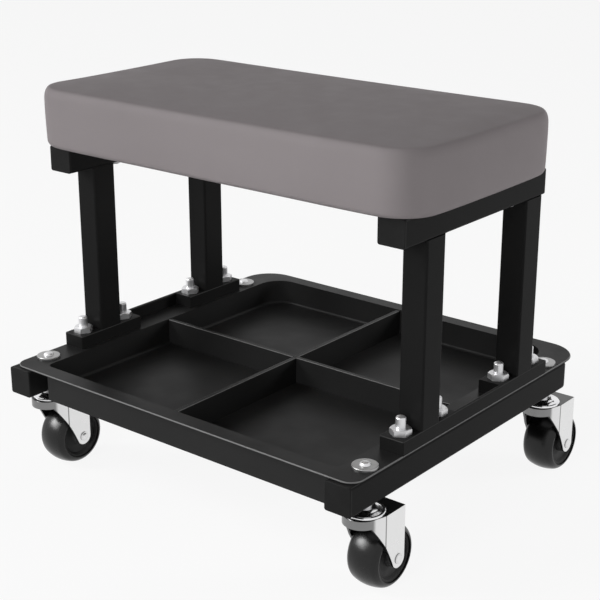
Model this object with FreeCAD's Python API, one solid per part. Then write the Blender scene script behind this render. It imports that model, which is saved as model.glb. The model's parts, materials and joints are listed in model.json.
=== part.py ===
import FreeCAD, Part
import math
import os

# Rolling storage stool: a padded seat on two end frames, over a tray with four compartments, on casters.
# Frame: X runs along the seat, -Y is the front, Z is up. The origin is on the floor under the middle of the
# whole stool. All sizes are millimetres.

Vector = FreeCAD.Vector
X_AXIS = Vector(1, 0, 0)
Y_AXIS = Vector(0, 1, 0)
Z_AXIS = Vector(0, 0, 1)

# Seat
seat_length = 400.0
seat_depth = 209.0
seat_forward = 20.5
seat_thickness = 53.0
seat_corner_radius = 34.0
seat_least_corner_radius = 8.5
seat_top_roll = 10.0
seat_bottom_roll = 5.0
seat_base_draw = 3.0
seat_swell = 0.8
seat_crown = 1.5
seat_crown_band = 22.0
cover_thickness = 1.6
cover_wrap = 2.0
cover_wrap_margin = 34.0
cover_opening_radius = 8.0
board_inset = 11.0
board_thickness = 9.0
board_corner_radius = 26.0
soft_gap = 0.3

# Seat screws, up through the rails into tee nuts in the board
screw_diameter = 6.0
screw_head_diameter = 11.0
screw_head_height = 3.6
screw_head_roll = 1.2
screw_leg_gap = 4.0
tee_barrel_diameter = 8.0
tee_barrel_depth = 7.0
tee_flange_diameter = 18.0
tee_flange_thickness = 1.2

# End frames: top rail, two legs, two feet and a strip between the feet
seat_end_overhang = 15.0
rail_front_setback = 11.0
rail_rear_setback = 1.0
rail_width = 24.0
rail_height = 22.0
leg_width = 22.0
leg_depth = 24.5
leg_length = 150.0
leg_front_overhang = 29.0
leg_rear_overhang = 4.0
leg_weld_radius = 3.0
tube_wall = 1.5
tube_corner_radius = 2.0
cap_thickness = 2.0
cap_roll = 0.6
plug_depth = 12.0
plug_gap = 0.05
foot_width = 22.0
foot_height = 11.5
foot_reach = 24.0
foot_edge_roll = 1.0
strip_thickness = 3.0

# Base tubes, which carry the tray and the casters
base_tube_size = 24.0
base_tube_front_reach = 33.5
base_tube_rear_reach = 15.5
rear_plug_dome = 6.5
rear_plug_roll = 6.0
rear_plug_stem_gap = 0.75

# Tray
tray_depth = 339.0
tray_set_back = 2.0
tray_sheet = 1.5
tray_front_radius = 12.0
tray_rear_radius = 30.0
tray_edge_fillet = 1.3
end_flange_width = 13.5
pan_tube_gap = 1.0
pan_depth = 24.0
pan_front_radius = 7.0
pan_rear_radius = 24.0
pan_floor_radius = 3.0
apron_wide_gap = 15.0
apron_narrow_gap = 1.0
apron_setback = 4.0
divider_thickness = 4.0
divider_drop = 0.5
divider_end_gap = 0.25
divider_slot_gap = 0.1
divider_top_roll = 0.6
short_divider_x = -5.0
long_divider_forward = 2.0

# Bolts up through the top of the base tubes, the flange and the feet
bolt_diameter = 8.0
bolt_head_width = 13.0
bolt_head_height = 5.3
bolt_end_stand = 9.0
bolt_end_roll = 1.4
nut_width = 15.0
nut_height = 5.0
nut_shoulder_height = 0.9
nut_crown_diameter = 14.2
left_nut_turn = 30.0
hole_clearance = 0.5
thread_gap = 0.05

# Casters
caster_height = 80.5
caster_front_foot_gap = 20.75
caster_rear_foot_gap = 7.25
wheel_diameter = 54.0
wheel_width = 29.0
tread_shoulder = 4.5
tread_shoulder_drop = 1.5
tread_side_height = 1.0
rim_diameter = 41.0
rim_width = 26.0
rim_inner_diameter = 37.0
web_width = 21.0
boss_diameter = 15.0
boss_root_diameter = 17.0
web_outer_diameter = 34.0
caster_trail = 20.5
fork_sheet = 2.0
fork_gap = 31.0
fork_side_gap = 0.3
fork_front_reach = 18.0
fork_bend_y = 4.0
fork_nose_y = -6.0
fork_taper = 3.0
fork_skirt_height = 7.0
fork_skirt_rear_y = -9.0
fork_front_hollow = 1.5
fork_end_radius = 7.5
axle_diameter = 6.0
axle_head_diameter = 8.4
axle_head_edge = 0.6
axle_dome_diameter = 6.0
axle_dome_height = 1.1
running_gap = 0.05
stem_diameter = 8.0
stem_collar_diameter = 11.0
stem_collar_height = 6.0
stem_head_diameter = 14.0
stem_head_height = 2.4
stem_end_diameter = 8.8
stem_end_height = 2.4
washer_diameter = 20.5
washer_thickness = 2.0
washer_roll = 0.7
race_diameter = 32.0
race_stack = 5.0
race_lip_height = 1.4
race_lip_width = 2.2
race_lip_chamfer = 0.5
race_top_diameter = 17.0
race_gap = 0.8
ball_diameter = 4.0
ball_circle_radius = 10.0
ball_count = 10
ball_seat_depth = 0.8

# Levels, from the floor up
tube_top = caster_height + base_tube_size
flange_top = tube_top + tray_sheet
foot_top = flange_top + foot_height
rail_bottom = foot_top + leg_length
rail_top = rail_bottom + rail_height
board_bottom = rail_top + cover_wrap
board_top = board_bottom + board_thickness
pan_floor = flange_top - pan_depth
pan_bottom = pan_floor - tray_sheet
axle_height = wheel_diameter / 2
fork_top = caster_height - stem_collar_height - race_stack

# Places along X
frame_outer = seat_length / 2 - seat_end_overhang
rail_centre_x = frame_outer - rail_width / 2
leg_centre_x = frame_outer - leg_width / 2
foot_centre_x = frame_outer - foot_width / 2
base_tube_centre_x = frame_outer - base_tube_size / 2
pan_half_width = frame_outer - base_tube_size - pan_tube_gap

# Places along Y: the tray is set back a little, so that the whole stool is centred
tray_centre_y = tray_set_back
tray_front = tray_centre_y - tray_depth / 2
tray_rear = tray_centre_y + tray_depth / 2
pan_front = tray_front + end_flange_width
pan_rear = tray_rear - end_flange_width
long_divider_y = tray_centre_y - long_divider_forward
seat_centre_y = tray_centre_y - seat_forward
rail_front = seat_centre_y - seat_depth / 2 + rail_front_setback
rail_rear = seat_centre_y + seat_depth / 2 - rail_rear_setback
front_leg_y = rail_front + leg_front_overhang
rear_leg_y = rail_rear - leg_rear_overhang - leg_depth
front_screw_y = front_leg_y + leg_depth + screw_leg_gap + screw_head_diameter / 2
rear_screw_y = rear_leg_y - screw_leg_gap - screw_head_diameter / 2
front_caster_y = front_leg_y - foot_reach - caster_front_foot_gap - washer_diameter / 2
rear_caster_y = rear_leg_y + leg_depth + foot_reach + caster_rear_foot_gap + washer_diameter / 2
tube_front = front_caster_y - base_tube_front_reach
tube_rear = rear_caster_y + base_tube_rear_reach
fork_rear_reach = caster_trail + fork_end_radius
rear_plug_depth = tube_rear - rear_caster_y - (stem_diameter + hole_clearance) / 2 - rear_plug_stem_gap
LEG_ROWS = {"front": front_leg_y, "rear": rear_leg_y}
CASTER_ROWS = {"front": front_caster_y, "rear": rear_caster_y}
SIDES = {"left": -1, "right": 1}

# Straight pieces that stand in for a quarter turn: the seat's rolled edges, its crown and the stems' ends
ROLL_STEPS = 6
CROWN_STEPS = 3
DOME_STEPS = 4

# Two levels closer than this count as the same
SAME_LEVEL = 1e-6


def box(x0, x1, y0, y1, z0, z1):
    return Part.makeBox(x1 - x0, y1 - y0, z1 - z0, Vector(x0, y0, z0))


def upright(diameter, x, y, z0, z1):
    return Part.makeCylinder(diameter / 2, z1 - z0, Vector(x, y, z0), Z_AXIS)


def cone(radius0, radius1, x, y, z0, z1):
    return Part.makeCone(radius0, radius1, z1 - z0, Vector(x, y, z0), Z_AXIS)


def rounded_outline(x0, x1, y0, y1, radii, z):
    """Closed outline of a rectangle; radii run front left, front right, rear right, rear left."""
    corners = ((x0, y0, 1, 1), (x1, y0, -1, 1), (x1, y1, -1, -1), (x0, y1, 1, -1))
    bend = 1 - math.sqrt(0.5)
    starts = []
    ends = []
    arcs = []
    for index, (x, y, sx, sy) in enumerate(corners):
        r = radii[index]
        along_x = Vector(x + sx * r, y, z)
        along_y = Vector(x, y + sy * r, z)
        first, last = (along_y, along_x) if index % 2 == 0 else (along_x, along_y)
        starts.append(first)
        ends.append(last)
        arcs.append(Part.Arc(first, Vector(x + sx * r * bend, y + sy * r * bend, z), last).toShape())
    edges = []
    for index in range(4):
        edges.append(arcs[index])
        edges.append(Part.LineSegment(ends[index], starts[(index + 1) % 4]).toShape())
    return Part.Wire(edges)


def cornered_prism(x0, x1, y0, y1, radii, z0, z1):
    outline = rounded_outline(x0, x1, y0, y1, radii, z0)
    return Part.Face(outline).extrude(Vector(0, 0, z1 - z0))


def rounded_prism(x0, x1, y0, y1, radius, z0, z1):
    return cornered_prism(x0, x1, y0, y1, [radius] * 4, z0, z1)


def bar_y(centre_x, width, y0, y1, z0, z1, radius):
    """Bar along Y with rounded long edges."""
    upright_bar = rounded_prism(-width / 2, width / 2, 0, z1 - z0, radius, 0, y1 - y0)
    upright_bar.rotate(Vector(0, 0, 0), X_AXIS, 90)
    upright_bar.translate(Vector(centre_x, y1, z0))
    return upright_bar


def tube_y(centre_x, width, height, y0, y1, z0):
    """Rectangular tube along Y with rounded long edges, open at both ends."""
    z1 = z0 + height
    outer = bar_y(centre_x, width, y0, y1, z0, z1, tube_corner_radius)
    inner_width = width - 2 * tube_wall
    inner_radius = tube_corner_radius - tube_wall
    bore = bar_y(centre_x, inner_width, y0, y1, z0 + tube_wall, z1 - tube_wall, inner_radius)
    return outer.cut(bore)


def revolve_profile(points, axis):
    """Turn a closed outline of (distance along axis, radius) points about the axis."""
    if axis is X_AXIS:
        corners = [Vector(a, 0, r) for a, r in points]
    else:
        corners = [Vector(r, 0, a) for a, r in points]
    outline = Part.makePolygon(corners + corners[:1])
    return Part.Face(outline).revolve(Vector(0, 0, 0), axis, 360)


def edges_at(shape, axis, level):
    """Edges of a shape that lie in one plane across an axis."""
    found = []
    for edge in shape.Edges:
        if all(abs(corner.Point.dot(axis) - level) < SAME_LEVEL for corner in edge.Vertexes):
            found.append(edge)
    return found


def without(edges, others):
    return [edge for edge in edges if not any(edge.isSame(other) for other in others)]


def mirrored(shape):
    return shape.mirror(Vector(0, 0, 0), X_AXIS)


def pad_section(inset, z):
    """One level of the seat, drawn in from its fullest outline by inset."""
    half_x = seat_length / 2 - inset
    y0 = seat_centre_y - seat_depth / 2 + inset
    y1 = seat_centre_y + seat_depth / 2 - inset
    radius = max(seat_corner_radius - inset, seat_least_corner_radius)
    return rounded_outline(-half_x, half_x, y0, y1, [radius] * 4, z)


def pad_solid(skin):
    """Seat form: sides drawn in at the base, a full waist, a rolled top edge and a low crown."""
    levels = []
    for step in range(ROLL_STEPS + 1):
        turn = math.radians(90 * step / ROLL_STEPS)
        inset = skin + seat_base_draw + seat_bottom_roll * (1 - math.sin(turn))
        levels.append((inset, rail_top + seat_bottom_roll * (1 - math.cos(turn))))
    crown_top = rail_top + seat_thickness - skin
    shoulder = crown_top - seat_crown - seat_top_roll
    levels.append((skin, (rail_top + seat_bottom_roll + shoulder) / 2))
    for step in range(ROLL_STEPS + 1):
        turn = math.radians(90 * step / ROLL_STEPS)
        inset = skin + seat_swell + seat_top_roll * (1 - math.cos(turn))
        levels.append((inset, shoulder + seat_top_roll * math.sin(turn)))
    edge = skin + seat_swell + seat_top_roll
    for step in range(1, CROWN_STEPS + 1):
        rise = seat_crown * math.sin(math.radians(90 * step / CROWN_STEPS))
        levels.append((edge + step * seat_crown_band, crown_top - seat_crown + rise))
    return Part.makeLoft([pad_section(inset, z) for inset, z in levels], True, True)


def board_form(grow, radius, z0, z1):
    """Plan of the seat board, larger all round by grow."""
    half_x = seat_length / 2 - board_inset + grow
    half_y = seat_depth / 2 - board_inset + grow
    y0 = seat_centre_y - half_y
    y1 = seat_centre_y + half_y
    return rounded_prism(-half_x, half_x, y0, y1, radius, z0, z1)


def seat_screw_places():
    places = []
    for side in SIDES.values():
        for y in (front_screw_y, rear_screw_y):
            places.append((side * rail_centre_x, y))
    return places


def above(z):
    """Everything higher than z, for trimming the seat's pieces."""
    return box(-seat_length, seat_length, -seat_length, seat_length, z, z + seat_length)


def seat_cover():
    cavity = pad_solid(cover_thickness).common(above(board_top))
    cover = pad_solid(0.0).cut(cavity)
    pocket_radius = board_corner_radius + soft_gap
    cover = cover.cut(board_form(soft_gap, pocket_radius, board_bottom - soft_gap, board_top + soft_gap))
    below = rail_top - cover_wrap
    cover = cover.cut(board_form(-cover_wrap_margin, cover_opening_radius, below, board_bottom))
    for x, y in seat_screw_places():
        cover = cover.cut(upright(screw_diameter + hole_clearance, x, y, below, board_bottom))
    return cover


def seat_foam():
    foam = pad_solid(cover_thickness + soft_gap).common(above(board_top + soft_gap))
    recess = tee_flange_diameter + 2 * soft_gap
    recess_top = board_top + tee_flange_thickness + 2 * soft_gap
    for x, y in seat_screw_places():
        foam = foam.cut(upright(recess, x, y, board_top, recess_top))
    return foam


def seat_board():
    board = board_form(0.0, board_corner_radius, board_bottom, board_top)
    for x, y in seat_screw_places():
        board = board.cut(upright(screw_diameter + hole_clearance, x, y, board_bottom, board_top))
        barrel = tee_barrel_diameter + 2 * thread_gap
        board = board.cut(upright(barrel, x, y, board_top - tee_barrel_depth - thread_gap, board_top))
    return board


def seat_tee_nut(x, y):
    nut = upright(tee_flange_diameter, x, y, board_top, board_top + tee_flange_thickness)
    nut = nut.fuse(upright(tee_barrel_diameter, x, y, board_top - tee_barrel_depth, board_top))
    bore = screw_diameter + 2 * thread_gap
    return nut.cut(upright(bore, x, y, board_top - tee_barrel_depth, board_top + tee_flange_thickness))


def seat_screw(x, y):
    head = upright(screw_head_diameter, x, y, rail_bottom - screw_head_height, rail_bottom)
    head = head.makeFillet(screw_head_roll, edges_at(head, Z_AXIS, rail_bottom - screw_head_height))
    return head.fuse(upright(screw_diameter, x, y, rail_bottom, board_top))


def top_rail():
    """Right-hand rail, a tube with a screw hole through it at each seat screw."""
    y0 = rail_front + cap_thickness
    y1 = rail_rear - cap_thickness
    rail = tube_y(rail_centre_x, rail_width, rail_height, y0, y1, rail_bottom)
    for x, y in seat_screw_places():
        rail = rail.cut(upright(screw_diameter + hole_clearance, x, y, rail_bottom, rail_top))
    return rail


def end_plug(centre_x, width, height, z0, face_y, inward, thickness, depth, roll):
    """Plug for a tube: a face plate with a rolled edge over the tube's end, and a stub inside it."""
    outer_y = face_y - inward * thickness
    y0, y1 = sorted((outer_y, face_y))
    plate = bar_y(centre_x, width, y0, y1, z0, z0 + height, tube_corner_radius)
    plate = plate.makeFillet(roll, edges_at(plate, Y_AXIS, outer_y))
    margin = tube_wall + plug_gap
    half = width / 2 - margin
    s0, s1 = sorted((face_y, face_y + inward * depth))
    stub = box(centre_x - half, centre_x + half, s0, s1, z0 + margin, z0 + height - margin)
    return plate.fuse(stub)


def rail_end_caps():
    caps = []
    for side in SIDES.values():
        for face_y, inward in ((rail_front + cap_thickness, 1), (rail_rear - cap_thickness, -1)):
            caps.append(end_plug(side * rail_centre_x, rail_width, rail_height, rail_bottom, face_y, inward,
                                 cap_thickness, plug_depth, cap_roll))
    return Part.makeCompound(caps)


def leg_weld(face_y, outward):
    """Hollow bead of weld in the corner between a leg's face and the underside of its rail."""
    half = leg_width / 2 - tube_corner_radius
    away_y = face_y + outward * leg_weld_radius
    y0, y1 = sorted((face_y, away_y))
    z0 = rail_bottom - leg_weld_radius
    bead = box(leg_centre_x - half, leg_centre_x + half, y0, y1, z0, rail_bottom)
    start = Vector(leg_centre_x - half, away_y, z0)
    return bead.cut(Part.makeCylinder(leg_weld_radius, 2 * half, start, X_AXIS))


def leg(leg_y):
    """Right-hand leg, a rectangular tube standing on its foot and welded to its rail."""
    x0 = leg_centre_x - leg_width / 2
    x1 = leg_centre_x + leg_width / 2
    outer = rounded_prism(x0, x1, leg_y, leg_y + leg_depth, tube_corner_radius, foot_top, rail_bottom)
    bore = rounded_prism(x0 + tube_wall, x1 - tube_wall, leg_y + tube_wall, leg_y + leg_depth - tube_wall,
                         tube_corner_radius - tube_wall, foot_top, rail_bottom)
    return outer.cut(bore).fuse([leg_weld(leg_y, -1), leg_weld(leg_y + leg_depth, 1)])


def foot_bolt_places(leg_y):
    return (leg_y - foot_reach / 2, leg_y + leg_depth + foot_reach / 2)


def foot(leg_y, front):
    """Right-hand foot: a bar with two bolt holes, rounded on top and at the end away from the strip."""
    y0 = leg_y - foot_reach
    y1 = leg_y + leg_depth + foot_reach
    open_end, strip_end = (y0, y1) if front else (y1, y0)
    bar = box(foot_centre_x - foot_width / 2, foot_centre_x + foot_width / 2, y0, y1, flange_top, foot_top)
    top = edges_at(bar, Z_AXIS, foot_top)
    end = without(edges_at(bar, Y_AXIS, open_end), top)
    sharp = edges_at(bar, Z_AXIS, flange_top) + edges_at(bar, Y_AXIS, strip_end)
    bar = bar.makeFillet(foot_edge_roll, without(top + end, sharp))
    for bolt_y in foot_bolt_places(leg_y):
        bar = bar.cut(upright(bolt_diameter + hole_clearance, foot_centre_x, bolt_y, flange_top, foot_top))
    return bar


def foot_strip():
    """Right-hand strip on edge between the two feet, flush with their outer faces."""
    y0 = front_leg_y + leg_depth + foot_reach
    y1 = rear_leg_y - foot_reach
    strip = box(frame_outer - strip_thickness, frame_outer, y0, y1, flange_top, foot_top)
    ends = edges_at(strip, Y_AXIS, y0) + edges_at(strip, Y_AXIS, y1)
    return strip.makeFillet(foot_edge_roll, without(edges_at(strip, Z_AXIS, foot_top), ends))


def all_bolt_places():
    places = []
    for side in SIDES.values():
        for leg_y in LEG_ROWS.values():
            for bolt_y in foot_bolt_places(leg_y):
                places.append((side * foot_centre_x, bolt_y))
    return places


def hexagon(width, x, y, z0, z1, turned=0.0):
    """Upright hexagon with two flats across X, turned about its middle."""
    radius = width / math.sqrt(3)
    corners = []
    for step in range(7):
        turn = math.radians(60 * step + 30 + turned)
        corners.append(Vector(x + radius * math.cos(turn), y + radius * math.sin(turn), z0))
    return Part.Face(Part.makePolygon(corners)).extrude(Vector(0, 0, z1 - z0))


def foot_bolt(x, y):
    """Hexagon bolt with its head inside the base tube and its rounded end standing above the nut."""
    seat = tube_top - tube_wall
    head = hexagon(bolt_head_width, x, y, seat - bolt_head_height, seat)
    end = foot_top + nut_height + bolt_end_stand
    shank = upright(bolt_diameter, x, y, seat, end)
    shank = shank.makeFillet(bolt_end_roll, edges_at(shank, Z_AXIS, end))
    return head.fuse(shank)


def foot_nut(x, y):
    """Thin hexagon nut with its top corners rounded off; those on the left stand turned by half a flat."""
    turned = left_nut_turn if x < 0 else 0.0
    nut = hexagon(nut_width, x, y, foot_top, foot_top + nut_height, turned)
    corner = nut_width / math.sqrt(3)
    crown_base = foot_top + nut_height - nut_shoulder_height
    envelope = upright(2 * corner, x, y, foot_top, crown_base)
    crown = cone(corner, nut_crown_diameter / 2, x, y, crown_base, crown_base + nut_shoulder_height)
    nut = nut.common(envelope.fuse(crown))
    return nut.cut(upright(bolt_diameter + 2 * thread_gap, x, y, foot_top, foot_top + nut_height))


def bolt_holes(z0, z1):
    return [upright(bolt_diameter + hole_clearance, x, y, z0, z1) for x, y in all_bolt_places()]


def caster_places():
    places = {}
    for row, y in CASTER_ROWS.items():
        for side, sign in SIDES.items():
            places[f"caster_{row}_{side}"] = Vector(sign * base_tube_centre_x, y, 0)
    return places


def stem_holes(z0, z1):
    return [upright(stem_diameter + hole_clearance, p.x, p.y, z0, z1) for p in caster_places().values()]


def base_tube():
    """Right-hand base tube, with bolt holes in its top and stem holes right through."""
    y0 = tube_front + cap_thickness
    tube = tube_y(base_tube_centre_x, base_tube_size, base_tube_size, y0, tube_rear, caster_height)
    return tube.cut(bolt_holes(tube_top - tube_wall, tube_top) + stem_holes(caster_height, tube_top))


def base_tube_plugs(front):
    plugs = []
    for side in SIDES.values():
        x = side * base_tube_centre_x
        if front:
            face_y = tube_front + cap_thickness
            plugs.append(end_plug(x, base_tube_size, base_tube_size, caster_height, face_y, 1,
                                  cap_thickness, plug_depth, cap_roll))
        else:
            plugs.append(end_plug(x, base_tube_size, base_tube_size, caster_height, tube_rear, -1,
                                  rear_plug_dome, rear_plug_depth, rear_plug_roll))
    return Part.makeCompound(plugs)


def tray_pan():
    """Pressed tray: a wide flange with rounded corners and a pan that hangs between the base tubes."""
    radii = [tray_front_radius, tray_front_radius, tray_rear_radius, tray_rear_radius]
    flange = cornered_prism(-frame_outer, frame_outer, tray_front, tray_rear, radii, tube_top, flange_top)
    flange = flange.makeFillet(tray_edge_fillet, edges_at(flange, Z_AXIS, flange_top))
    half = pan_half_width
    radii = [pan_front_radius, pan_front_radius, pan_rear_radius, pan_rear_radius]
    pan = cornered_prism(-half, half, pan_front, pan_rear, radii, pan_bottom, tube_top)
    half = pan_half_width - tray_sheet
    inner_radii = [radius - tray_sheet for radius in radii]
    hollow = cornered_prism(-half, half, pan_front + tray_sheet, pan_rear - tray_sheet, inner_radii,
                            pan_floor, flange_top)
    hollow = hollow.makeFillet(pan_floor_radius, edges_at(hollow, Z_AXIS, pan_floor))
    tray = flange.fuse(pan).cut(hollow)
    return tray.cut(bolt_holes(tube_top, flange_top) + stem_holes(tube_top, flange_top)).removeSplitter()


def tray_apron(front):
    """Plate that hides the pan's end wall, off centre; the rear one is the front one turned round."""
    tube_inner = frame_outer - base_tube_size
    y0 = tray_front + apron_setback
    y1 = y0 + tray_sheet
    plate = box(apron_wide_gap - tube_inner, tube_inner - apron_narrow_gap, y0, y1, pan_bottom, tube_top)
    if not front:
        plate.rotate(Vector(0, tray_centre_y, 0), Z_AXIS, 180)
    return plate


def divider_wall(x0, x1, y0, y1):
    """Plain divider with rounded top edges."""
    top = flange_top - divider_drop
    wall = box(x0, x1, y0, y1, pan_floor, top)
    return wall.makeFillet(divider_top_roll, edges_at(wall, Z_AXIS, top))


def divider_slot(x, y, z0, z1):
    """Room for the other divider, through the one that is cut."""
    half = divider_thickness / 2 + divider_slot_gap
    return box(x - half, x + half, y - half, y + half, z0, z1)


def dividers():
    """Long and short wall, slotted half-way to lock together, with heels cut for the pan's bend."""
    half_x = pan_half_width - tray_sheet - divider_end_gap
    y0 = pan_front + tray_sheet + divider_end_gap
    y1 = pan_rear - tray_sheet - divider_end_gap
    half = divider_thickness / 2
    middle = (pan_floor + flange_top - divider_drop) / 2
    heel = pan_floor_radius
    heel_top = pan_floor + heel
    long_wall = divider_wall(-half_x, half_x, long_divider_y - half, long_divider_y + half)
    for x0, x1 in ((-half_x, heel - half_x), (half_x - heel, half_x)):
        long_wall = long_wall.cut(box(x0, x1, tray_front, tray_rear, pan_floor, heel_top))
    long_wall = long_wall.cut(divider_slot(short_divider_x, long_divider_y, middle, flange_top))
    short_wall = divider_wall(short_divider_x - half, short_divider_x + half, y0, y1)
    for e0, e1 in ((y0, y0 + heel), (y1 - heel, y1)):
        short_wall = short_wall.cut(box(-frame_outer, frame_outer, e0, e1, pan_floor, heel_top))
    short_wall = short_wall.cut(divider_slot(short_divider_x, long_divider_y, pan_floor, middle))
    return {"divider_long": long_wall, "divider_short": short_wall}


def stem_washer(place):
    ring = upright(washer_diameter, place.x, place.y, flange_top, flange_top + washer_thickness)
    ring = ring.makeFillet(washer_roll, edges_at(ring, Z_AXIS, flange_top + washer_thickness))
    return ring.cut(upright(stem_diameter + hole_clearance, place.x, place.y, flange_top,
                            flange_top + washer_thickness))


def caster_stem():
    """Fixed pin: head under the fork, collar under the base tube and a rounded end over the washer."""
    r = stem_diameter / 2
    head_top = fork_top - fork_sheet - fork_side_gap
    collar_bottom = caster_height - stem_collar_height
    end_base = flange_top + washer_thickness
    end_r = stem_end_diameter / 2
    outline = [(head_top - stem_head_height, 0), (head_top - stem_head_height, stem_head_diameter / 2),
               (head_top, stem_head_diameter / 2), (head_top, r), (collar_bottom, r),
               (collar_bottom, stem_collar_diameter / 2), (caster_height, stem_collar_diameter / 2),
               (caster_height, r), (end_base, r), (end_base, end_r)]
    for step in range(1, DOME_STEPS):
        turn = math.radians(90 * step / DOME_STEPS)
        outline.append((end_base + stem_end_height * math.sin(turn), end_r * math.cos(turn)))
    outline.append((end_base + stem_end_height, 0))
    return revolve_profile(outline, Z_AXIS)


def ball_track():
    """Groove that the balls run in, half in the fork and half in the race."""
    height = fork_top + ball_diameter / 2 - ball_seat_depth
    return Part.makeTorus(ball_circle_radius, ball_diameter / 2 + running_gap, Vector(0, 0, height), Z_AXIS)


def caster_race():
    """Fixed race over the balls: a lipped ring that rises to a boss under the stem's collar."""
    bottom = fork_top + race_gap
    top = fork_top + race_stack
    lip_top = bottom + race_lip_height
    bore = stem_diameter / 2 + running_gap
    outer = race_diameter / 2
    outline = [(bottom, bore), (bottom, outer), (lip_top - race_lip_chamfer, outer),
               (lip_top, outer - race_lip_chamfer), (lip_top, outer - race_lip_width),
               (top - race_lip_height, race_top_diameter / 2 + race_lip_width),
               (top, race_top_diameter / 2), (top, bore)]
    return revolve_profile(outline, Z_AXIS).cut(ball_track())


def caster_balls():
    height = fork_top + ball_diameter / 2 - ball_seat_depth
    balls = []
    for step in range(ball_count):
        turn = 2 * math.pi * step / ball_count
        centre = Vector(ball_circle_radius * math.cos(turn), ball_circle_radius * math.sin(turn), height)
        balls.append(Part.makeSphere(ball_diameter / 2, centre))
    return Part.makeCompound(balls)


def fork_plan(half_width, front_reach, rear_reach, z0, z1):
    """Plan of the fork: straight sides, a slight bend inwards, then a rounded front."""
    nose_x = half_width - fork_taper
    right = [(nose_x, fork_nose_y), (half_width, fork_bend_y), (half_width, rear_reach)]
    left = [(-x, y) for x, y in right[::-1]]
    points = [Vector(x, y, z0) for x, y in right + left]
    edges = [Part.LineSegment(a, b).toShape() for a, b in zip(points, points[1:])]
    edges.append(Part.Arc(points[-1], Vector(0, -front_reach, z0), points[0]).toShape())
    return Part.Face(Part.Wire(edges)).extrude(Vector(0, 0, z1 - z0))


def fork_side_form(half_width):
    """Side view of the fork: a front skirt, and cheeks that taper down to a round end about the axle."""
    skirt_bottom = fork_top - fork_skirt_height
    away_y = caster_trail - fork_skirt_rear_y
    away_z = axle_height - skirt_bottom
    reach = math.hypot(away_y, away_z)
    turn = math.atan2(away_z, away_y) - math.asin(fork_end_radius / reach)
    run = math.sqrt(reach ** 2 - fork_end_radius ** 2)
    corner = Vector(-half_width, fork_skirt_rear_y, skirt_bottom)
    touch = corner + Vector(0, run * math.cos(turn), run * math.sin(turn))
    hollow = Vector(0, -math.sin(turn), math.cos(turn)) * fork_front_hollow
    front_arc = Part.Arc(corner, (corner + touch) / 2 + hollow, touch).toShape()
    lowest = Vector(-half_width, caster_trail, axle_height - fork_end_radius)
    end_arc = Part.Arc(touch, lowest, Vector(-half_width, fork_rear_reach, axle_height)).toShape()
    past_front = -2 * fork_front_reach
    corners = [(fork_rear_reach, axle_height), (fork_rear_reach, fork_top), (past_front, fork_top),
               (past_front, skirt_bottom), (fork_skirt_rear_y, skirt_bottom)]
    points = [Vector(-half_width, y, z) for y, z in corners]
    edges = [Part.LineSegment(a, b).toShape() for a, b in zip(points, points[1:])]
    return Part.Face(Part.Wire([end_arc] + edges + [front_arc])).extrude(Vector(2 * half_width, 0, 0))


def caster_fork():
    half = fork_gap / 2 + fork_sheet
    foot_level = axle_height - fork_end_radius
    fork = fork_plan(half, fork_front_reach, fork_rear_reach, foot_level, fork_top)
    fork = fork.common(fork_side_form(half))
    front = fork_front_reach - fork_sheet
    past_rear = 2 * fork_rear_reach
    inside = fork_plan(fork_gap / 2, front, past_rear, foot_level, fork_top - fork_sheet)
    fork = fork.cut(inside).cut(ball_track())
    fork = fork.cut(upright(stem_diameter + 2 * running_gap, 0, 0, fork_top - fork_sheet, fork_top))
    pin_start = Vector(-half, caster_trail, axle_height)
    return fork.cut(Part.makeCylinder(axle_diameter / 2, 2 * half, pin_start, X_AXIS))


def caster_axle():
    """Riveted axle, with a thin ring and a low dome outside each cheek."""
    half = fork_gap / 2 + fork_sheet
    r = axle_diameter / 2
    head_r = axle_head_diameter / 2
    ring = half + axle_head_edge
    side = [(half, r), (half, head_r), (ring, head_r)]
    for step in range(DOME_STEPS):
        turn = math.radians(90 * step / DOME_STEPS)
        side.append((ring + axle_dome_height * math.sin(turn), axle_dome_diameter / 2 * math.cos(turn)))
    side.append((ring + axle_dome_height, 0))
    outline = [(-a, radius) for a, radius in side[::-1]] + side
    axle = revolve_profile(outline, X_AXIS)
    axle.translate(Vector(0, caster_trail, axle_height))
    return axle


def caster_hub():
    """Wheel centre: a boss on the axle, a recessed web and a rim."""
    half_boss = fork_gap / 2 - fork_side_gap
    bore = axle_diameter / 2 + running_gap
    side = [(half_boss, bore), (half_boss, boss_diameter / 2), (web_width / 2, boss_root_diameter / 2),
            (web_width / 2, web_outer_diameter / 2), (rim_width / 2, rim_inner_diameter / 2),
            (rim_width / 2, rim_diameter / 2)]
    outline = [(-a, r) for a, r in side] + side[::-1]
    hub = revolve_profile(outline, X_AXIS)
    hub.translate(Vector(0, caster_trail, axle_height))
    return hub


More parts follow.
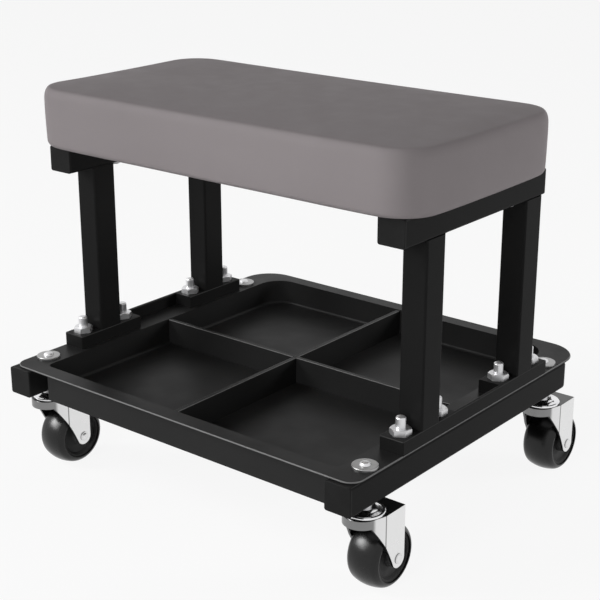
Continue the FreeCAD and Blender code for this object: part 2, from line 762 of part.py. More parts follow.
def caster_tread():
    """Tread with a crowned running face that runs on smoothly into rounded shoulders."""
    half = wheel_width / 2
    inner = rim_diameter / 2 + running_gap
    side_top = inner + tread_side_height
    shoulder_r = wheel_diameter / 2 - tread_shoulder_drop
    crown_x = half - tread_shoulder
    fall = shoulder_r - side_top
    crown_end_slope = 2 * math.atan2(tread_shoulder_drop, crown_x)
    bulge = math.tan((math.atan2(fall, tread_shoulder) - crown_end_slope) / 2) / 2
    mid_x = crown_x + tread_shoulder / 2 + bulge * fall
    mid_r = side_top + fall / 2 + bulge * tread_shoulder
    left = [Vector(-half, 0, inner), Vector(-half, 0, side_top), Vector(-crown_x, 0, shoulder_r)]
    right = [Vector(crown_x, 0, shoulder_r), Vector(half, 0, side_top), Vector(half, 0, inner)]
    edges = [Part.LineSegment(left[0], left[1]).toShape(),
             Part.Arc(left[1], Vector(-mid_x, 0, mid_r), left[2]).toShape(),
             Part.Arc(left[2], Vector(0, 0, wheel_diameter / 2), right[0]).toShape(),
             Part.Arc(right[0], Vector(mid_x, 0, mid_r), right[1]).toShape(),
             Part.LineSegment(right[1], right[2]).toShape(),
             Part.LineSegment(right[2], left[0]).toShape()]
    tread = Part.Face(Part.Wire(edges)).revolve(Vector(0, 0, 0), X_AXIS, 360)
    tread.translate(Vector(0, caster_trail, axle_height))
    return tread


def seat_nodes():
    return {
        "seat_cover": seat_cover(),
        "seat_foam": seat_foam(),
        "seat_board": seat_board(),
        "seat_tee_nuts": Part.makeCompound([seat_tee_nut(x, y) for x, y in seat_screw_places()]),
        "seat_screws": Part.makeCompound([seat_screw(x, y) for x, y in seat_screw_places()]),
    }


def handed_nodes(name, shape):
    """A right-hand piece and its mirror image."""
    return {f"{name}_right": shape, f"{name}_left": mirrored(shape)}


def frame_nodes():
    nodes = handed_nodes("top_rail", top_rail())
    nodes["rail_end_caps"] = rail_end_caps()
    for row, leg_y in LEG_ROWS.items():
        nodes.update(handed_nodes(f"leg_{row}", leg(leg_y)))
        nodes.update(handed_nodes(f"foot_{row}", foot(leg_y, row == "front")))
    nodes.update(handed_nodes("foot_strip", foot_strip()))
    nodes["foot_bolts"] = Part.makeCompound([foot_bolt(x, y) for x, y in all_bolt_places()])
    nodes["foot_nuts"] = Part.makeCompound([foot_nut(x, y) for x, y in all_bolt_places()])
    return nodes


def base_nodes():
    nodes = handed_nodes("base_tube", base_tube())
    nodes["tube_front_plugs"] = base_tube_plugs(True)
    nodes["tube_rear_plugs"] = base_tube_plugs(False)
    nodes["tray_pan"] = tray_pan()
    nodes["tray_apron_front"] = tray_apron(True)
    nodes["tray_apron_rear"] = tray_apron(False)
    nodes.update(dividers())
    nodes["stem_washers"] = Part.makeCompound([stem_washer(place) for place in caster_places().values()])
    return nodes


def caster_nodes():
    pieces = {"stem": caster_stem(), "race": caster_race(), "balls": caster_balls(), "fork": caster_fork(),
              "axle": caster_axle(), "hub": caster_hub(), "tread": caster_tread()}
    nodes = {}
    for caster, place in caster_places().items():
        for piece, shape in pieces.items():
            nodes[f"{caster}_{piece}"] = shape.translated(place)
    return nodes


def main():
    os.makedirs("parts", exist_ok=True)
    nodes = {**seat_nodes(), **frame_nodes(), **base_nodes(), **caster_nodes()}
    for name, shape in nodes.items():
        shape.exportStep(f"parts/{name}.step")


main()
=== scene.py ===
"""Looks of a rolling storage stool: grey vinyl seat, black frames and tray, zinc hardware and casters."""

import json
import math

import bmesh
import bpy
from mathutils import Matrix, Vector
from mathutils.kdtree import KDTree


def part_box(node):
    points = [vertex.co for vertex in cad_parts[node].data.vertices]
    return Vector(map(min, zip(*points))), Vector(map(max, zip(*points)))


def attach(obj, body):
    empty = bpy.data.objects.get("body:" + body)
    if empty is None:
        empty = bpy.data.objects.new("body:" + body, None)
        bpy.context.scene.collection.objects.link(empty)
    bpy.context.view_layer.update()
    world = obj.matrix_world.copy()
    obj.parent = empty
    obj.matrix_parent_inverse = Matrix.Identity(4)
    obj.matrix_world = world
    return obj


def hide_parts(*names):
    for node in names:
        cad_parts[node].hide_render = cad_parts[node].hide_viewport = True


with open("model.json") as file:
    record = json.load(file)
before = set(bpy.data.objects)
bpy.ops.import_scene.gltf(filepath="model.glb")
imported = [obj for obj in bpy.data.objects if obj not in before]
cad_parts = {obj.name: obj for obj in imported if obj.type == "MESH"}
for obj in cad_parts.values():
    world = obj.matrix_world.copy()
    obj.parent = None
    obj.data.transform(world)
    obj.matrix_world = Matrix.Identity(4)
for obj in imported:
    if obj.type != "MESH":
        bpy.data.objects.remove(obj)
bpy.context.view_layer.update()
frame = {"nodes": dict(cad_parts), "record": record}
nodes = frame["nodes"]
ROOT = "stool"

# Camera, fitted to the photograph's straight edges, for a 600 by 600 picture
CAMERA_AZIMUTH = 39.03
CAMERA_ELEVATION = 19.31
CAMERA_DISTANCE = 1.199
CAMERA_TARGET = Vector((-0.0002, 0.0, 0.1594))
CAMERA_LENS = 83.05
SENSOR_WIDTH = 36.0

# Background and floor
BACKGROUND = (0.947, 0.947, 0.947, 1.0)
WORLD_FILL = 0.12
FLOOR_HALF_SIZE = 6.0
FLOOR_COLOUR = (0.9, 0.9, 0.9, 1.0)
FLOOR_GLOW_SHARE = 0.9

# Seat pad: its form before stuffing, drawn in a little from the CAD cover
PAD_START_INSET = 0.0008
CORNER_RADIUS = 0.034
LEAST_CORNER_RADIUS = 0.008
TOP_ROLL_HEIGHT = 0.0100
TOP_ROLL_WIDTH = 0.0055
BOTTOM_ROLL = 0.005
BASE_DRAW = 0.0012
SIDE_SWELL = 0.0003
CROWN = 0.0015
ROLL_STEPS = 6
WAIST_STEPS = 4
CROWN_STEPS = 5
RING_CORNER_STEPS = 8
RING_SIDE_STEPS = (16, 32)
SAME_POINT = 0.00002

# Hem of the cover under the seat board
BOARD_INSET = 0.011
HEM_WIDTH = 0.034
HEM_TOP = 0.0026
HEM_ROLL = 0.0008

# Staples in the hem
STAPLE_WIRE = 0.0009
STAPLE_CROWN = 0.011
STAPLE_LEG = 0.0022
STAPLE_PITCH = 0.022
STAPLE_FROM_LONG_HEM = 0.012
STAPLE_FROM_SHORT_HEM = 0.003
STAPLE_CORNER_GAP = 0.010

# Stuffing simulation
PAD_VOXEL = 0.005
PAD_FRAMES = 20
PAD_PRESSURE = 4.0
PAD_BLUR = 0.016
PAD_CAP = 0.0007
HELD_HEIGHT = 0.008
CLOTH_QUALITY = 8
CLOTH_MASS = 0.3
CLOTH_STIFFNESS = 40.0
CLOTH_SHEAR = 20.0
CLOTH_BENDING = 5.0

# Painted shade of the forks from front to rear: the skirt darkened as painted shade, and a painted shadow
# where the cheek bends
FORK_SHADES = (
    (0.0, 0.22), (0.22, 0.24), (0.28, 0.74), (0.462, 0.76),
    (0.469, 0.24), (0.485, 0.24), (0.492, 0.80), (1.0, 0.80),
)
# Painted shade on the fork's upper face, inside its cheeks and on their front edges under the skirt
FORK_PAINTED_SHADE = 0.10

# Painted shade of the axles from end to end: bright domes on rings darkened as painted shade
AXLE_SHADES = (
    (0.0, 0.78), (0.030, 0.78), (0.034, 0.22), (0.060, 0.22), (0.5, 0.5),
    (0.940, 0.22), (0.966, 0.22), (0.970, 0.78), (1.0, 0.78),
)

# Painted highlight on the coat's rolled edges, by how far the surface leans up, and the height it starts at
HIGHLIGHT_BY_LEAN = ((0.0, 0.0), (0.15, 0.0), (0.4, 1.0), (0.85, 1.0), (0.98, 0.0), (1.0, 0.0))
HIGHLIGHT_FROM = 0.1038
HIGHLIGHT_FADE = 0.0004

# How far the roughness of a finish varies to each side
COAT_ROUGHNESS_SPREAD = 0.05
ZINC_ROUGHNESS_SPREAD = 0.04
PLASTIC_SMOOTHER = 0.05
PLASTIC_ROUGHER = 0.06

# Pieces of the tray, which have a coat of their own
TRAY_NODES = ("tray_pan", "tray_apron_front", "tray_apron_rear", "divider_long", "divider_short")


def grey(shade):
    return (shade, shade, shade)


def new_material(name, roughness, metallic=0.0, specular=0.5):
    """Material with a Principled shader, ready for its textures. Returns it with its node tree and shader."""
    material = bpy.data.materials.new(name)
    material.use_nodes = True
    tree = material.node_tree
    shader = tree.nodes["Principled BSDF"]
    shader.inputs["Roughness"].default_value = roughness
    shader.inputs["Metallic"].default_value = metallic
    shader.inputs["Specular IOR Level"].default_value = specular
    return material, tree, shader


def object_coords(tree, stretch=(1.0, 1.0, 1.0)):
    """Coordinates in metres that stay fixed to the piece, stretched for a grain."""
    coords = tree.nodes.new("ShaderNodeTexCoord")
    mapping = tree.nodes.new("ShaderNodeMapping")
    mapping.inputs["Scale"].default_value = stretch
    tree.links.new(coords.outputs["Object"], mapping.inputs["Vector"])
    return mapping.outputs["Vector"]


def split(tree, output):
    """X, Y and Z of one of the piece's own texture coordinates."""
    coords = tree.nodes.new("ShaderNodeTexCoord")
    parts = tree.nodes.new("ShaderNodeSeparateXYZ")
    tree.links.new(coords.outputs[output], parts.inputs["Vector"])
    return parts.outputs


def noise(tree, coords, per_metre, detail, rough=0.5):
    texture = tree.nodes.new("ShaderNodeTexNoise")
    texture.inputs["Scale"].default_value = per_metre
    texture.inputs["Detail"].default_value = detail
    texture.inputs["Roughness"].default_value = rough
    tree.links.new(coords, texture.inputs["Vector"])
    return texture.outputs["Fac"]


def cells(tree, coords, per_metre):
    """Distance from the middle of the nearest of many small cells."""
    texture = tree.nodes.new("ShaderNodeTexVoronoi")
    texture.inputs["Scale"].default_value = per_metre
    tree.links.new(coords, texture.inputs["Vector"])
    return texture.outputs["Distance"]


def combine(tree, operation, first, second):
    node = tree.nodes.new("ShaderNodeMath")
    node.operation = operation
    tree.links.new(first, node.inputs[0])
    tree.links.new(second, node.inputs[1])
    return node.outputs["Value"]


def value_between(tree, factor, low, high, start=0.3, end=0.7):
    """Number that goes from low to high as the factor goes from start to end."""
    span = tree.nodes.new("ShaderNodeMapRange")
    span.inputs["From Min"].default_value = start
    span.inputs["From Max"].default_value = end
    span.inputs["To Min"].default_value = low
    span.inputs["To Max"].default_value = high
    tree.links.new(factor, span.inputs["Value"])
    return span.outputs["Result"]


def colour_between(tree, factor, low, high, start=0.3, end=0.7):
    """Colour that goes from low to high as the factor goes from start to end."""
    ramp = tree.nodes.new("ShaderNodeValToRGB")
    ramp.color_ramp.elements[0].position = start
    ramp.color_ramp.elements[0].color = (*low, 1.0)
    ramp.color_ramp.elements[1].position = end
    ramp.color_ramp.elements[1].color = (*high, 1.0)
    tree.links.new(factor, ramp.inputs["Fac"])
    return ramp.outputs["Color"]


def shade_stops(tree, factor, stops):
    """Grey that runs through (place, shade) stops as the factor goes from 0 to 1."""
    ramp = tree.nodes.new("ShaderNodeValToRGB")
    elements = ramp.color_ramp.elements
    for place, shade in stops[1:-1]:
        elements.new(place)
    for element, (place, shade) in zip(elements, stops):
        element.position = place
        element.color = (*grey(shade), 1.0)
    tree.links.new(factor, ramp.inputs["Fac"])
    return ramp.outputs["Color"]


def shaded_where(tree, mask, colour, shade):
    """The colour, or a plain grey where the mask is 1."""
    mix = tree.nodes.new("ShaderNodeMix")
    mix.data_type = "RGBA"
    tree.links.new(mask, mix.inputs["Factor"])
    tree.links.new(colour, mix.inputs["A"])
    mix.inputs["B"].default_value = (*grey(shade), 1.0)
    return mix.outputs["Result"]


def bump(tree, shader, height, strength, depth):
    node = tree.nodes.new("ShaderNodeBump")
    node.inputs["Strength"].default_value = strength
    node.inputs["Distance"].default_value = depth
    tree.links.new(height, node.inputs["Height"])
    tree.links.new(node.outputs["Normal"], shader.inputs["Normal"])


def vinyl():
    """Smooth grey upholstery vinyl with a fine pebbled grain."""
    material, tree, shader = new_material("seat_vinyl_grey", roughness=0.55, specular=0.06)
    coords = object_coords(tree)
    cloud = noise(tree, coords, per_metre=10.0, detail=3.0)
    colour = colour_between(tree, cloud, low=(0.240, 0.217, 0.222), high=(0.255, 0.231, 0.236))
    tree.links.new(colour, shader.inputs["Base Color"])
    patches = noise(tree, coords, per_metre=60.0, detail=3.0)
    tree.links.new(value_between(tree, patches, low=0.5, high=0.6), shader.inputs["Roughness"])
    bump(tree, shader, cells(tree, coords, per_metre=900.0), strength=0.05, depth=0.0004)
    return material


def painted_edge_highlight(tree):
    """1 where a highlight is painted, where the surface rolls from top to side above the tray's floor; else 0.
    """
    rolled = shade_stops(tree, split(tree, "Normal")["Z"], HIGHLIGHT_BY_LEAN)
    height = split(tree, "Object")["Z"]
    above = value_between(tree, height, low=0.0, high=1.0, start=HIGHLIGHT_FROM, end=HIGHLIGHT_FROM + HIGHLIGHT_FADE)
    return combine(tree, "MULTIPLY", rolled, above)


def powder_coat(name, low, high, highlight_grey, roughness, specular):
    """Black satin powder coat with a slight orange peel, and a painted highlight on its upper edges."""
    material, tree, shader = new_material(name, roughness, specular=specular)
    coords = object_coords(tree)
    plain = colour_between(tree, noise(tree, coords, per_metre=9.0, detail=3.0), grey(low), grey(high))
    tree.links.new(shaded_where(tree, painted_edge_highlight(tree), plain, highlight_grey), shader.inputs["Base Color"])
    streaks = noise(tree, coords, per_metre=35.0, detail=4.0)
    spread = COAT_ROUGHNESS_SPREAD
    varied = value_between(tree, streaks, roughness - spread, roughness + spread)
    tree.links.new(varied, shader.inputs["Roughness"])
    bump(tree, shader, noise(tree, coords, per_metre=700.0, detail=2.0), strength=0.05, depth=0.0002)
    return material


def zinc(name, low, high, roughness):
    """Zinc plate with faint drawing lines and clouding."""
    material, tree, shader = new_material(name, roughness, metallic=1.0)
    cloud = noise(tree, object_coords(tree), per_metre=60.0, detail=3.0)
    tree.links.new(colour_between(tree, cloud, low, high), shader.inputs["Base Color"])
    lines = noise(tree, object_coords(tree, stretch=(1.0, 1.0, 0.08)), per_metre=900.0, detail=2.0)
    spread = ZINC_ROUGHNESS_SPREAD
    varied = value_between(tree, lines, roughness - spread, roughness + spread)
    tree.links.new(varied, shader.inputs["Roughness"])
    bump(tree, shader, lines, strength=0.02, depth=0.0001)
    return material


def fork_shade_mask(tree):
    """1 for painted shade: a fork's upper face, inside its cheeks and their front edges under the skirt; else
    0.
    """
    normal = split(tree, "Normal")
    place = split(tree, "Generated")
    upper = value_between(tree, normal["Z"], low=0.0, high=1.0, start=0.85, end=0.95)
    side = value_between(tree, place["X"], low=-1.0, high=1.0, start=0.0, end=1.0)
    outward_lean = combine(tree, "MULTIPLY", side, normal["X"])
    inner = value_between(tree, outward_lean, low=1.0, high=0.0, start=-0.3, end=-0.1)
    front = value_between(tree, normal["Y"], low=1.0, high=0.0, start=-0.6, end=-0.3)
    below_skirt = value_between(tree, place["Z"], low=1.0, high=0.0, start=0.80, end=0.85)
    edges = combine(tree, "MULTIPLY", front, below_skirt)
    return combine(tree, "MAXIMUM", combine(tree, "MAXIMUM", upper, inner), edges)


def shaded_zinc(name, axis, stops, painted_shade=None):
    """Zinc with shade painted along the piece, and plain painted shade on the fork's masked faces if given."""
    material, tree, shader = new_material(name, roughness=0.3, metallic=1.0)
    colour = shade_stops(tree, split(tree, "Generated")[axis], stops)
    if painted_shade:
        colour = shaded_where(tree, fork_shade_mask(tree), colour, painted_shade)
    tree.links.new(colour, shader.inputs["Base Color"])
    cloud = noise(tree, object_coords(tree), per_metre=90.0, detail=3.0)
    tree.links.new(value_between(tree, cloud, low=0.26, high=0.34), shader.inputs["Roughness"])
    bump(tree, shader, cloud, strength=0.02, depth=0.0001)
    return material


def ball_steel():
    """Polished steel of the bearing balls."""
    material, tree, shader = new_material("polished_ball_steel", roughness=0.08, metallic=1.0)
    cloud = noise(tree, object_coords(tree), per_metre=400.0, detail=2.0)
    colour = colour_between(tree, cloud, low=(0.62, 0.62, 0.64), high=(0.72, 0.72, 0.74))
    tree.links.new(colour, shader.inputs["Base Color"])
    return material


def moulded_plastic(name, low, high, roughness):
    """Dark moulded plastic with a fine spark-eroded texture."""
    material, tree, shader = new_material(name, roughness, specular=0.06)
    coords = object_coords(tree)
    cloud = noise(tree, coords, per_metre=50.0, detail=2.0)
    tree.links.new(colour_between(tree, cloud, grey(low), grey(high)), shader.inputs["Base Color"])
    varied = value_between(tree, cloud, roughness - PLASTIC_SMOOTHER, roughness + PLASTIC_ROUGHER)
    tree.links.new(varied, shader.inputs["Roughness"])
    bump(tree, shader, noise(tree, coords, per_metre=1500.0, detail=1.0), strength=0.06, depth=0.0001)
    return material


def rubber():
    """Black tread rubber, slightly polished by moulding."""
    material, tree, shader = new_material("tread_rubber", roughness=0.25, specular=0.36)
    coords = object_coords(tree)
    cloud = noise(tree, coords, per_metre=70.0, detail=3.0)
    tree.links.new(colour_between(tree, cloud, low=grey(0.002), high=grey(0.004)), shader.inputs["Base Color"])
    tree.links.new(value_between(tree, cloud, low=0.22, high=0.28), shader.inputs["Roughness"])
    bump(tree, shader, noise(tree, coords, per_metre=1100.0, detail=2.0), strength=0.03, depth=0.0001)
    return material


def plywood():
    """Raw plywood with long grain along the seat."""
    material, tree, shader = new_material("seat_board_plywood", roughness=0.65, specular=0.3)
    along_seat = object_coords(tree, stretch=(0.06, 1.0, 1.0))
    grain = noise(tree, along_seat, per_metre=220.0, detail=5.0, rough=0.6)
    colour = colour_between(tree, grain, low=(0.36, 0.23, 0.12), high=(0.58, 0.42, 0.25))
    tree.links.new(colour, shader.inputs["Base Color"])
    tree.links.new(value_between(tree, grain, low=0.55, high=0.75), shader.inputs["Roughness"])
    bump(tree, shader, grain, strength=0.15, depth=0.0003)
    return material


def foam():
    """Open-cell upholstery foam."""
    material, tree, shader = new_material("seat_foam_cells", roughness=0.9, specular=0.1)
    pores = cells(tree, object_coords(tree), per_metre=700.0)
    colour = colour_between(tree, pores, low=(0.55, 0.47, 0.28), high=(0.8, 0.72, 0.48), start=0.0, end=0.6)
    tree.links.new(colour, shader.inputs["Base Color"])
    bump(tree, shader, pores, strength=0.4, depth=0.0006)
    return material


# The coats get a paler grey on their rolled upper edges as a painted highlight.
MATERIALS = {
    "seat_vinyl": vinyl(),
    "seat_foam": foam(),
    "plywood": plywood(),
    "black_coat": powder_coat("frame_powder_coat", low=0.012, high=0.014, highlight_grey=0.05, roughness=0.33,
                              specular=0.025),
    "zinc_steel": zinc("bright_zinc", low=(0.66, 0.66, 0.67), high=(0.74, 0.74, 0.75), roughness=0.42),
    "ball_steel": ball_steel(),
    "black_plastic": moulded_plastic("plug_plastic", low=0.012, high=0.016, roughness=0.42),
    "wheel_plastic": moulded_plastic("wheel_centre_plastic", low=0.048, high=0.056, roughness=0.4),
    "wheel_rubber": rubber(),
}
WASHER_ZINC = zinc("dull_zinc", low=grey(0.34), high=grey(0.40), roughness=0.36)
# The tray's coat gets a stronger painted highlight on its upper edges.
TRAY_COAT = powder_coat("tray_powder_coat", low=0.016, high=0.020, highlight_grey=0.20, roughness=0.41, specular=0.09)
# The fork and axle zinc carry painted shade.
CASTER_ZINC = {
    "race": zinc("race_zinc", low=(0.78, 0.78, 0.79), high=(0.86, 0.86, 0.87), roughness=0.13),
    "fork": shaded_zinc("fork_zinc", "Y", FORK_SHADES, FORK_PAINTED_SHADE),
    "axle": shaded_zinc("axle_zinc", "X", AXLE_SHADES),
}


def dress_cad_nodes():
    """Give every CAD node the finish of its material slot, and some a finish of their own."""
    finishes = {part["node"]: MATERIALS[part["material_slot"]] for part in frame["record"]["subparts"]}
    finishes["stem_washers"] = WASHER_ZINC
    for name in TRAY_NODES:
        finishes[name] = TRAY_COAT
    for place in ("front_left", "front_right", "rear_left", "rear_right"):
        for piece, material in CASTER_ZINC.items():
            finishes[f"caster_{place}_{piece}"] = material
    for name, material in finishes.items():
        materials = nodes[name].data.materials
        materials.clear()
        materials.append(material)


def add_object(name, data):
    """New object in the scene."""
    item = bpy.data.objects.new(name, data)
    bpy.context.scene.collection.objects.link(item)
    return item


def look_at_stool(item, azimuth, elevation, distance):
    """Stand a camera or lamp off from the stool, looking at its middle. Azimuth 0 is in front of it."""
    turn = math.radians(azimuth)
    rise = math.radians(elevation)
    out = Vector((math.sin(turn) * math.cos(rise), -math.cos(turn) * math.cos(rise), math.sin(rise)))
    item.location = CAMERA_TARGET + distance * out
    item.rotation_euler = (-out).to_track_quat("-Z", "Y").to_euler()


def place_camera():
    data = bpy.data.cameras.new("photo_camera")
    data.lens = CAMERA_LENS
    data.sensor_width = SENSOR_WIDTH
    camera = add_object("photo_camera", data)
    look_at_stool(camera, CAMERA_AZIMUTH, CAMERA_ELEVATION, CAMERA_DISTANCE)
    bpy.context.scene.camera = camera


def seen_directly(tree):
    """1 for rays from the camera, and for reflections and refractions, so that these see the background."""
    rays = tree.nodes.new("ShaderNodeLightPath").outputs
    first = combine(tree, "MAXIMUM", rays["Is Camera Ray"], rays["Is Glossy Ray"])
    return combine(tree, "MAXIMUM", first, rays["Is Transmission Ray"])


def mix_shaders(tree, output_kind, factor, first, second):
    """Show the first shader where the factor is 0 and the second where it is 1."""
    mix = tree.nodes.new("ShaderNodeMixShader")
    output = tree.nodes.new(output_kind)
    tree.links.new(factor, mix.inputs["Fac"])
    tree.links.new(first, mix.inputs[1])
    tree.links.new(second, mix.inputs[2])
    tree.links.new(mix.outputs["Shader"], output.inputs["Surface"])


def make_world():
    """Weak white fill on the stool, and the pale background that is seen."""
    world = bpy.data.worlds.new("studio")
    bpy.context.scene.world = world
    world.use_nodes = True
    tree = world.node_tree
    tree.nodes.clear()
    fill = tree.nodes.new("ShaderNodeBackground")
    fill.inputs["Color"].default_value = (*grey(1.0), 1.0)
    fill.inputs["Strength"].default_value = WORLD_FILL
    backdrop = tree.nodes.new("ShaderNodeBackground")
    backdrop.inputs["Color"].default_value = BACKGROUND
    mix_shaders(tree, "ShaderNodeOutputWorld", seen_directly(tree), fill.outputs["Background"],
                backdrop.outputs["Background"])


def floor_material():
    """Matte floor that mostly glows where it is seen, so that it is as pale as the background."""
    material = bpy.data.materials.new("pale_floor")
    material.use_nodes = True
    tree = material.node_tree
    tree.nodes.clear()
    matte = tree.nodes.new("ShaderNodeBsdfDiffuse")
    matte.inputs["Color"].default_value = FLOOR_COLOUR
    glow = tree.nodes.new("ShaderNodeEmission")
    share = value_between(tree, seen_directly(tree), low=0.0, high=FLOOR_GLOW_SHARE, start=0.0, end=1.0)
    mix_shaders(tree, "ShaderNodeOutputMaterial", share, matte.outputs["BSDF"], glow.outputs["Emission"])
    return material


def make_floor():
    """Pale floor that takes a soft shadow and melts into the background."""
    mesh = bpy.data.meshes.new("floor")
    s = FLOOR_HALF_SIZE
    mesh.from_pydata([(-s, -s, 0), (s, -s, 0), (s, s, 0), (-s, s, 0)], [], [(0, 1, 2, 3)])
    mesh.materials.append(floor_material())
    add_object("floor", mesh)


def area_light(name, azimuth, elevation, distance, size, power):
    """Square soft light that looks at the middle of the stool. Returns it."""
    data = bpy.data.lights.new(name, "AREA")
    data.size = size
    data.energy = power
    light = add_object(name, data)
    look_at_stool(light, azimuth, elevation, distance)
    return light


def make_lights():
    """Front and side light that leave no glint, a high lamp, and one that only adds highlights."""
    front = area_light("front", azimuth=10.0, elevation=16.0, distance=2.0, size=0.8, power=16.0)
    front.visible_glossy = False
    side = area_light("side", azimuth=130.0, elevation=10.0, distance=2.0, size=0.6, power=16.5)
    side.visible_glossy = False
    area_light("high_left", azimuth=-47.0, elevation=34.0, distance=4.0, size=1.4, power=68.0)
    gloss = area_light("gloss", azimuth=-38.0, elevation=31.0, distance=4.2, size=2.0, power=110.0)
    gloss.visible_diffuse = False


def rounded_ring(low, high, inset, radius, z):
    """Points round a rounded rectangle, anticlockwise from above, spaced along the straight runs too."""
    x0, x1 = low.x + inset + radius, high.x - inset - radius
    y0, y1 = low.y + inset + radius, high.y - inset - radius
    corners = ((x1, y0, -90), (x1, y1, 0), (x0, y1, 90), (x0, y0, 180))
    points = []
    for index, (cx, cy, start) in enumerate(corners):
        for step in range(RING_CORNER_STEPS + 1):
            turn = math.radians(start + 90 * step / RING_CORNER_STEPS)
            points.append(Vector((cx + radius * math.cos(turn), cy + radius * math.sin(turn), z)))
        steps = RING_SIDE_STEPS[index % 2]
        ahead = corners[(index + 1) % 4]
        turn = math.radians(start + 90)
        first = points[-1]
        last = Vector((ahead[0] + radius * math.cos(turn), ahead[1] + radius * math.sin(turn), z))
        points.extend(first.lerp(last, step / steps) for step in range(1, steps))
    return points


def skin_rings(rings):
    """Closed skin through rings of equal length, of which the first and last are drawn to a ridge."""
    mesh = bmesh.new()
    rows = [[mesh.verts.new(point) for point in ring] for ring in rings]
    count = len(rows[0])
    for lower, upper in zip(rows, rows[1:]):
        for i in range(count):
            j = (i + 1) % count
            mesh.faces.new((lower[i], lower[j], upper[j], upper[i]))
    bmesh.ops.remove_doubles(mesh, verts=mesh.verts, dist=SAME_POINT)
    bmesh.ops.recalc_face_normals(mesh, faces=mesh.faces)
    return mesh


def smooth_piece(name, data, material):
    """New smooth-shaded piece from a mesh."""
    data.materials.append(material)
    for polygon in data.polygons:
        polygon.use_smooth = True
    return add_object(name, data)


def apply_modifiers(piece):
    depsgraph = bpy.context.evaluated_depsgraph_get()
    shaped = bpy.data.meshes.new_from_object(piece.evaluated_get(depsgraph))
    piece.modifiers.clear()
    old = piece.data
    piece.data = shaped
    bpy.data.meshes.remove(old)


def pad_profile(low, high):
    """Levels of the pad's outside as (inset, height): rolled lower edge, waist, rolled top edge and crown."""
    levels = []
    for step in range(ROLL_STEPS + 1):
        turn = math.radians(90 * step / ROLL_STEPS)
        inset = PAD_START_INSET + BASE_DRAW + BOTTOM_ROLL * (1 - math.sin(turn))
        levels.append((inset, low.z + BOTTOM_ROLL * (1 - math.cos(turn))))
    top = high.z - PAD_START_INSET
    shoulder = top - CROWN - TOP_ROLL_HEIGHT
    waist = low.z + BOTTOM_ROLL
    for step in range(1, WAIST_STEPS):
        share = step / WAIST_STEPS
        draw = BASE_DRAW * (1 - share) ** 2 + SIDE_SWELL * share ** 2
        levels.append((PAD_START_INSET + draw, waist + share * (shoulder - waist)))
    for step in range(ROLL_STEPS + 1):
        turn = math.radians(90 * step / ROLL_STEPS)
        inset = PAD_START_INSET + SIDE_SWELL + TOP_ROLL_WIDTH * (1 - math.cos(turn))
        levels.append((inset, shoulder + TOP_ROLL_HEIGHT * math.sin(turn)))
    edge = PAD_START_INSET + SIDE_SWELL + TOP_ROLL_WIDTH
    reach = (high.y - low.y) / 2 - edge
    for step in range(1, CROWN_STEPS + 1):
        share = step / CROWN_STEPS
        levels.append((edge + share * reach, top - CROWN + CROWN * math.sin(math.radians(90 * share))))
    return levels


def wrap_profile(low, high):
    """Levels of the hem: from a ridge inside the board, round its edge and out to the pad's lower edge."""
    hem = BOARD_INSET + HEM_WIDTH
    inside = low.z + HEM_TOP
    ridge = (high.y - low.y) / 2
    return [(ridge, inside), (hem + 2 * HEM_ROLL, inside), (hem, inside), (hem, low.z + HEM_ROLL),
            (hem - HEM_ROLL, low.z), (hem / 2, low.z)]


def pad_piece(name, levels, low, high):
    """Piece with a rounded ring of the seat's outline at each level."""
    rings = []
    for inset, z in levels:
        room = (high.y - low.y) / 2 - inset
        radius = min(max(CORNER_RADIUS - inset, LEAST_CORNER_RADIUS), room)
        rings.append(rounded_ring(low, high, inset, radius, z))
    mesh = skin_rings(rings)
    data = bpy.data.meshes.new(name)
    mesh.to_mesh(data)
    mesh.free()
    return smooth_piece(name, data, MATERIALS["seat_vinyl"])


def add_cloth(piece, held):
    """Cloth blown up by pressure, without gravity, with a group of its points held."""
    cloth = piece.modifiers.new("cloth", "CLOTH")
    settings = cloth.settings
    settings.quality = CLOTH_QUALITY
    settings.mass = CLOTH_MASS
    settings.tension_stiffness = CLOTH_STIFFNESS
    settings.compression_stiffness = CLOTH_STIFFNESS
    settings.shear_stiffness = CLOTH_SHEAR
    settings.bending_stiffness = CLOTH_BENDING
    settings.use_pressure = True
    settings.uniform_pressure_force = PAD_PRESSURE
    settings.vertex_group_mass = held.name
    settings.effector_weights.gravity = 0.0
    cloth.collision_settings.use_collision = False
    cloth.point_cache.frame_start = 1
    cloth.point_cache.frame_end = PAD_FRAMES


def stuffed_moves(levels, low, high):
    """Blow up a copy of the pad as cloth, its lower edge held. Returns its points and how they moved."""
    copy = pad_piece("stuffed_copy", levels, low, high)
    remesh = copy.modifiers.new("remesh", "REMESH")
    remesh.mode = "VOXEL"
    remesh.voxel_size = PAD_VOXEL
    apply_modifiers(copy)
    before = [vertex.co.copy() for vertex in copy.data.vertices]
    held = copy.vertex_groups.new(name="held")
    for index, point in enumerate(before):
        height = point.z - low.z
        if height < HELD_HEIGHT:
            held.add([index], 1.0 - height / HELD_HEIGHT, "REPLACE")
    add_cloth(copy, held)
    scene = bpy.context.scene
    for number in range(1, PAD_FRAMES + 1):
        scene.frame_set(number)
    apply_modifiers(copy)
    moves = [vertex.co - origin for vertex, origin in zip(copy.data.vertices, before)]
    scene.frame_set(1)
    bpy.data.objects.remove(copy)
    return before, moves


def swell(pad, before, moves):
    """Move the pad's points as the stuffed copy's points near them moved, evened out and capped."""
    tree = KDTree(len(before))
    for index, point in enumerate(before):
        tree.insert(point, index)
    tree.balance()
    for vertex in pad.data.vertices:
        near = tree.find_range(vertex.co, PAD_BLUR)
        if not near:
            continue
        move = sum((moves[index] for _, index, _ in near), Vector()) / len(near)
        if move.length > PAD_CAP:
            move *= PAD_CAP / move.length
        vertex.co += move


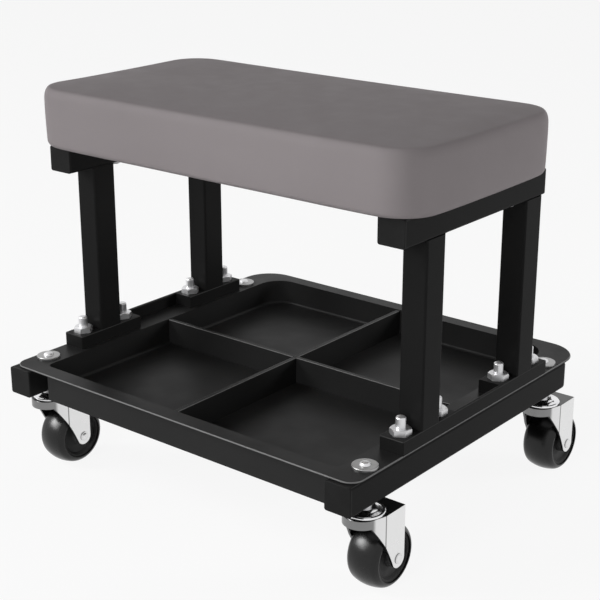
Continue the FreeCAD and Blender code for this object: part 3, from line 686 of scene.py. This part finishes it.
def make_seat_pad():
    """Vinyl cover over the foam: stuffed outside, with a hem under the board round an opening."""
    low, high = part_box("seat_cover")
    levels = wrap_profile(low, high) + pad_profile(low, high)
    pad = pad_piece("seat_pad", levels, low, high)
    swell(pad, *stuffed_moves(levels, low, high))
    divide = pad.modifiers.new("divide", "SUBSURF")
    divide.levels = 1
    divide.render_levels = 1
    apply_modifiers(pad)
    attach(pad, ROOT)
    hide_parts("seat_cover", "seat_foam")


def staple_runs(low, high):
    """Middles of the staples and the way their crowns point, on each side of the hem, inside the rails."""
    hem = BOARD_INSET + HEM_WIDTH
    inset = Vector((hem - STAPLE_FROM_SHORT_HEM, hem - STAPLE_FROM_LONG_HEM, 0))
    near = low + inset
    far = high - inset
    runs = []
    along_x = int((far.x - near.x - 2 * STAPLE_CORNER_GAP) / STAPLE_PITCH)
    along_y = int((far.y - near.y - 2 * STAPLE_CORNER_GAP) / STAPLE_PITCH)
    for step in range(along_x + 1):
        x = (near.x + far.x - along_x * STAPLE_PITCH) / 2 + step * STAPLE_PITCH
        runs += [(Vector((x, y, low.z)), Vector((1, 0, 0))) for y in (near.y, far.y)]
    for step in range(along_y + 1):
        y = (near.y + far.y - along_y * STAPLE_PITCH) / 2 + step * STAPLE_PITCH
        runs += [(Vector((x, y, low.z)), Vector((0, 1, 0))) for x in (near.x, far.x)]
    return runs


def staple_points(middle, along):
    """Line of one staple's wire: a leg, the crown with its two bends, and the other leg."""
    up = Vector((0, 0, STAPLE_LEG))
    shoulder = Vector((0, 0, STAPLE_WIRE / 2))
    half = along * STAPLE_CROWN / 2
    turn = along * STAPLE_WIRE
    return (middle - half + up, middle - half + shoulder, middle - half + turn, middle + half - turn,
            middle + half + shoulder, middle + half + up)


def make_staples():
    """Wire staples that hold the hem to the board: a flat crown under the hem, and two legs up into it."""
    curve = bpy.data.curves.new("hem_staples", "CURVE")
    curve.dimensions = "3D"
    curve.bevel_depth = STAPLE_WIRE / 2
    curve.bevel_resolution = 2
    for middle, along in staple_runs(*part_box("seat_cover")):
        points = staple_points(middle, along)
        spline = curve.splines.new("POLY")
        spline.points.add(len(points) - 1)
        for point, place in zip(spline.points, points):
            point.co = (*place, 1.0)
    wires = add_object("staple_wires", curve)
    mesh = bpy.data.meshes.new_from_object(wires.evaluated_get(bpy.context.evaluated_depsgraph_get()))
    bpy.data.objects.remove(wires)
    staples = smooth_piece("hem_staples", mesh, MATERIALS["zinc_steel"])
    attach(staples, ROOT)


bpy.context.scene.view_settings.view_transform = "Standard"
dress_cad_nodes()
make_seat_pad()
make_staples()
place_camera()
make_world()
make_floor()
make_lights()
